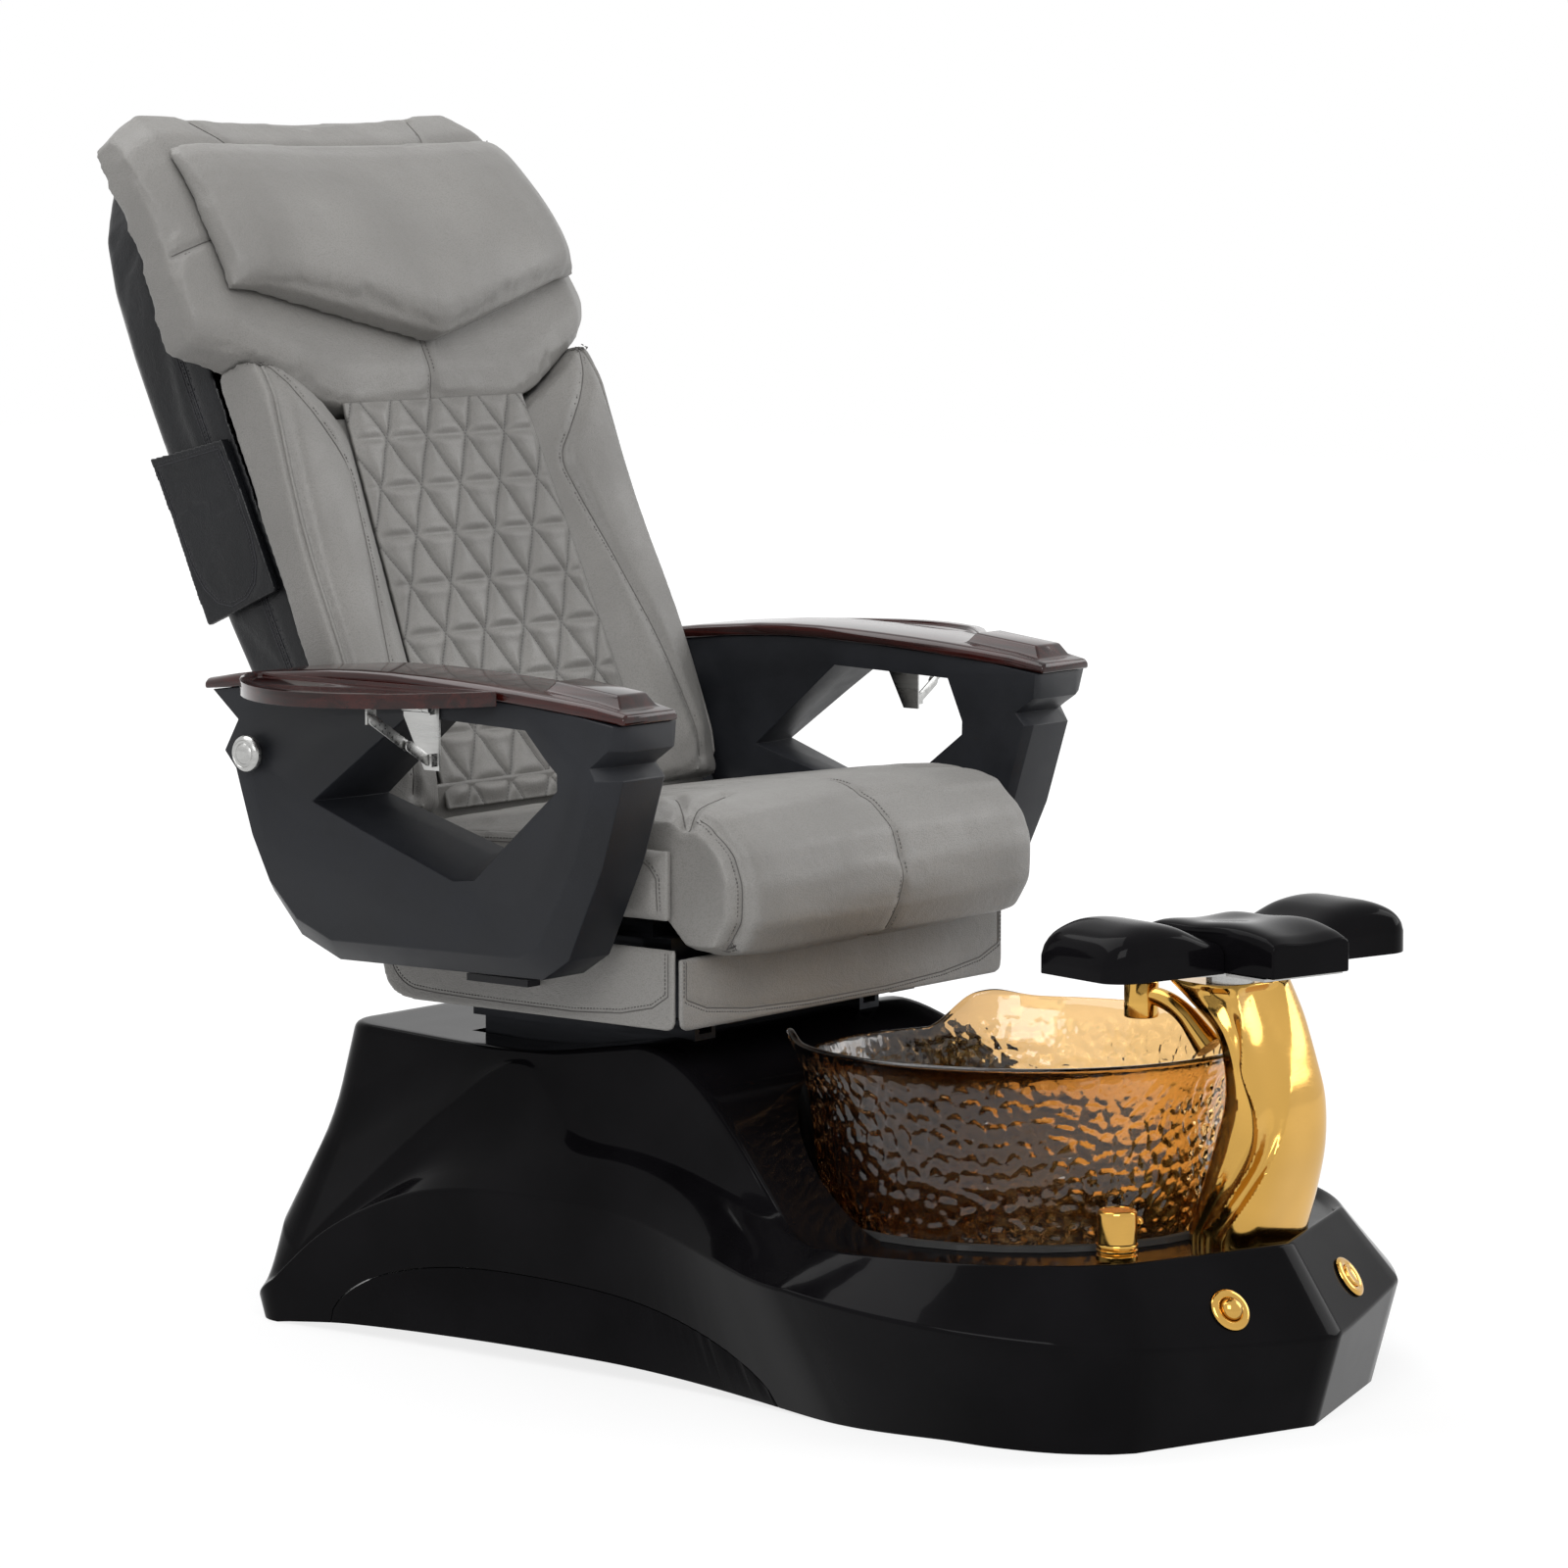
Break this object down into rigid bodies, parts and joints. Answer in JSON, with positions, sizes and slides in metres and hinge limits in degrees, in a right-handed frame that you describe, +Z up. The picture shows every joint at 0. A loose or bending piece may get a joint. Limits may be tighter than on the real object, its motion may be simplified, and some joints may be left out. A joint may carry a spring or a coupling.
{
  "type": "pedicure spa chair",
  "caption": "Pedicure spa chair with a glass foot bowl, swivelling footrest, sliding seat, reclining quilted back, lifting arms and folding trays.",
  "frame": {"origin": "on the floor, under the middle of the chair's length and width", "axes": "+Z up; -Y is the way the sitter faces, towards the foot bowl; +X is the sitter's left"},
  "size_m": [1.153, 1.5938, 1.395],
  "materials": {
    "gloss_black": "gloss black moulded shell",
    "glass": "amber to smoky hammered glass",
    "gold": "polished gold",
    "grey_leather": "warm grey, soft grain",
    "black_leather": "black, fine grain",
    "charcoal": "matte charcoal",
    "mahogany": "dark red stained, gloss lacquer",
    "steel": "satin steel",
    "dark_steel": "black powder coat",
    "rubber": "black",
    "plastic": "black"
  },
  "bodies": {
    "base": {"base_shell": "gloss_black", "side_panel_right": "gloss_black", "side_panel_left": "gloss_black", "base_frame": "dark_steel", "glass_bowl": "glass", "bowl_seal": "rubber", "drain_strainer": "steel", "jet_motor": "plastic", "jet_cover": "steel", "pillar": "gold", "spout": "gold", "faucet_base": "gold", "bezel_right": "gold", "bezel_left": "gold", "drain_pump": "plastic", "control_box": "plastic", "power_inlet": "plastic", "water_inlets": "steel"},
    "footrest": {"footrest_plate": "steel", "footrest_pad_right": "gloss_black", "footrest_pad_left": "gloss_black", "footrest_middle": "gloss_black"},
    "faucet": {"faucet_handle": "gold"},
    "push_button_right": {"button_right": "gold"},
    "push_button_left": {"button_left": "gold"},
    "impeller": {"jet_impeller": "plastic"},
    "seat": {"seat_frame": "dark_steel", "seat_cushion": "grey_leather", "seat_side_right": "grey_leather", "seat_side_left": "grey_leather", "skirt_front": "grey_leather", "skirt_right": "grey_leather", "skirt_left": "grey_leather", "seat_handle": "plastic"},
    "actuator_rod": {"recline_rod": "steel"},
    "back": {"back_frame": "dark_steel", "back_shell": "black_leather", "back_pad": "grey_leather", "back_quilt": "grey_leather", "head_section": "grey_leather", "pillow": "grey_leather", "side_pocket": "black_leather"},
    "carriage": {"massage_carriage": "dark_steel"},
    "roller": {"massage_roller": "rubber"},
    "arm_right": {"arm_panel_right": "charcoal", "arm_cap_right": "mahogany", "tray_bracket_right": "steel"},
    "knob_right": {"arm_knob_right": "steel"},
    "tray_table_right": {"tray_right": "mahogany", "tray_hinge_right": "steel"},
    "link_lower_right": {"brace_lower_right": "steel"},
    "link_upper_right": {"brace_upper_right": "steel"},
    "arm_left": {"arm_panel_left": "charcoal", "arm_cap_left": "mahogany", "tray_bracket_left": "steel"},
    "knob_left": {"arm_knob_left": "steel"},
    "tray_table_left": {"tray_left": "mahogany", "tray_hinge_left": "steel"},
    "link_lower_left": {"brace_lower_left": "steel"},
    "link_upper_left": {"brace_upper_left": "steel"}
  },
  "joints": [
    {"name": "seat_slide", "type": "slide", "parent": "base", "child": "seat", "axis": [0, 1, 0], "range_m": [-0.075, 0.05]},
    {"name": "back_recline", "type": "hinge", "parent": "seat", "child": "back", "pos_m": [0, 0.30513, 0.56], "axis": [-1, 0, 0], "range_deg": [-12, 30]},
    {"name": "recline_rod_slide", "type": "slide", "parent": "seat", "child": "actuator_rod", "axis": [0, 1, 0], "range_m": [-0.055, 0.025]},
    {"name": "massage_slide", "type": "slide", "parent": "back", "child": "carriage", "axis": [0, 0.4226, 0.9063], "range_m": [-0.2, 0.2]},
    {"name": "massage_roller_spin", "type": "hinge", "parent": "carriage", "child": "roller", "pos_m": [0, 0.5374, 0.93585], "axis": [1, 0, 0], "continuous": true},
    {"name": "footrest_swivel", "type": "hinge", "parent": "base", "child": "footrest", "pos_m": [0, -0.65487, 0.478], "axis": [0, 0, 1], "range_deg": [-31, 59]},
    {"name": "faucet_turn", "type": "hinge", "parent": "base", "child": "faucet", "pos_m": [-0.166, -0.62587, 0.207], "axis": [0, 0, 1], "range_deg": [-60, 60]},
    {"name": "jet_impeller_spin", "type": "hinge", "parent": "base", "child": "impeller", "pos_m": [0.07, -0.38287, 0.083], "axis": [0, 0, 1], "continuous": true},
    {"name": "button_press_right", "type": "slide", "parent": "base", "child": "push_button_right", "axis": [0.2357, 0.7937, -0.5608], "range_m": [0, 0.004], "stiffness_N_per_m": 600},
    {"name": "arm_lift_right", "type": "hinge", "parent": "seat", "child": "arm_right", "pos_m": [0, 0.37513, 0.684], "axis": [-1, 0, 0], "range_deg": [0, 75]},
    {"name": "knob_pull_right", "type": "slide", "parent": "arm_right", "child": "knob_right", "axis": [-1, 0, 0], "range_m": [0, 0.005], "stiffness_N_per_m": 800},
    {"name": "tray_fold_right", "type": "hinge", "parent": "arm_right", "child": "tray_table_right", "pos_m": [-0.443, 0.12113, 0.751], "axis": [0, -1, 0], "range_deg": [0, 80]},
    {"name": "brace_lower_turn_right", "type": "hinge", "parent": "arm_right", "child": "link_lower_right", "pos_m": [-0.443, 0.10053, 0.695], "axis": [0, -1, 0], "range_deg": [-56, 1]},
    {"name": "brace_upper_turn_right", "type": "hinge", "parent": "tray_table_right", "child": "link_upper_right", "pos_m": [-0.527, 0.10473, 0.746], "axis": [0, -1, 0], "range_deg": [-1, 35]},
    {"name": "button_press_left", "type": "slide", "parent": "base", "child": "push_button_left", "axis": [-0.2357, 0.7937, -0.5608], "range_m": [0, 0.004], "stiffness_N_per_m": 600},
    {"name": "arm_lift_left", "type": "hinge", "parent": "seat", "child": "arm_left", "pos_m": [0, 0.37513, 0.684], "axis": [-1, 0, 0], "range_deg": [0, 75]},
    {"name": "knob_pull_left", "type": "slide", "parent": "arm_left", "child": "knob_left", "axis": [1, 0, 0], "range_m": [0, 0.005], "stiffness_N_per_m": 800},
    {"name": "tray_fold_left", "type": "hinge", "parent": "arm_left", "child": "tray_table_left", "pos_m": [0.443, 0.12113, 0.751], "axis": [0, 1, 0], "range_deg": [0, 80]},
    {"name": "brace_lower_turn_left", "type": "hinge", "parent": "arm_left", "child": "link_lower_left", "pos_m": [0.443, 0.10053, 0.695], "axis": [0, 1, 0], "range_deg": [-56, 1]},
    {"name": "brace_upper_turn_left", "type": "hinge", "parent": "tray_table_left", "child": "link_upper_left", "pos_m": [0.527, 0.10473, 0.746], "axis": [0, 1, 0], "range_deg": [-1, 35]}
  ],
  "couplings": [
    {"joint": "recline_rod_slide", "follows": "back_recline", "m_per_rad": -0.098},
    {"joint": "brace_lower_turn_right", "follows": "tray_fold_right", "ratio": -0.694},
    {"joint": "brace_upper_turn_right", "follows": "tray_fold_right", "ratio": 0.429},
    {"joint": "brace_lower_turn_left", "follows": "tray_fold_left", "ratio": -0.694},
    {"joint": "brace_upper_turn_left", "follows": "tray_fold_left", "ratio": 0.429}
  ]
}
